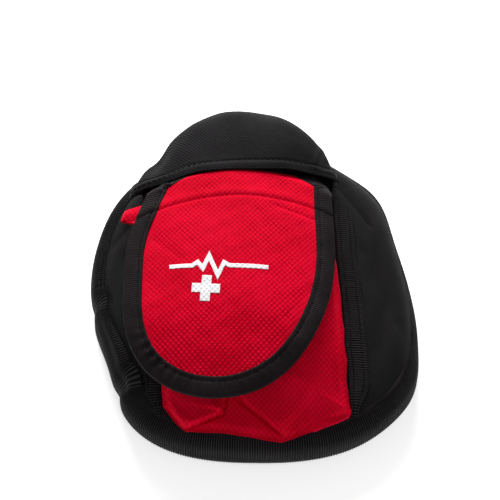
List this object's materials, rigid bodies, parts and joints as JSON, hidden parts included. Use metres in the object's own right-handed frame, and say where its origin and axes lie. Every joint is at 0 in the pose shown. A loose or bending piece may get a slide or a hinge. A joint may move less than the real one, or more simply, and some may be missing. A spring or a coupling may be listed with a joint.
{
  "type": "first-aid pouch",
  "caption": "Padded first-aid pouch with a taped rim, a hooded main compartment, a flapped front pocket and belt loops on its back.",
  "frame": {"origin": "middle of the bounding box's underside; the pouch lies on its back on the ground", "axes": "+Z out of the front of the pouch, +Y towards the hood end, +X to the right as the front is looked at"},
  "size_m": [0.1998, 0.2069, 0.0657],
  "materials": {
    "black_twill": "black twill-weave polyester, soft sheen",
    "ribbed_tape": "black ribbed grosgrain tape",
    "black_binding": "black fine-ribbed binding tape",
    "webbing": "black woven webbing",
    "red_dobby": "red dobby-weave polyester with a raised dot pattern",
    "white_print": "matt white screen print",
    "lining": "dark coated lining fabric",
    "hook_and_loop": "black hook-and-loop tape",
    "foam": "grey closed-cell foam sheet"
  },
  "bodies": {
    "carrier": {"rim_tape": "ribbed_tape", "side_gusset": "black_twill", "rear_wall": "black_twill", "edge_piping": "black_binding", "back_panel": "black_twill", "back_foam": "foam", "inner_lining": "lining", "front_panel": "black_twill", "mouth_binding": "black_binding", "hood_loop_strip": "hook_and_loop", "belt_loop_left": "webbing", "belt_loop_right": "webbing", "pocket_tape_left": "ribbed_tape", "pocket_tape_right": "ribbed_tape", "pocket_front": "red_dobby", "pocket_gusset_left": "red_dobby", "pocket_gusset_right": "red_dobby", "pocket_gusset_bottom": "red_dobby", "pocket_hem": "red_dobby", "pocket_loop_patch": "hook_and_loop", "flap_root": "red_dobby"},
    "flap": {"flap_panel": "red_dobby", "flap_lining": "lining", "flap_binding": "black_binding", "flap_hook_patch": "hook_and_loop", "flap_cross": "white_print", "flap_pulse": "white_print"},
    "hood": {"hood_panel": "black_twill", "hood_lining": "lining", "hood_hem": "black_twill", "hood_hook_strip": "hook_and_loop"}
  },
  "joints": [
    {"name": "flap_fold", "type": "hinge", "parent": "carrier", "child": "flap", "pos_m": [0, 0.046, 0.0602], "axis": [-1, 0, 0], "range_deg": [0, 145]},
    {"name": "hood_fold", "type": "hinge", "parent": "carrier", "child": "hood", "pos_m": [0, 0.1036, 0.034], "axis": [-1, 0, 0], "range_deg": [0, 120]}
  ]
}
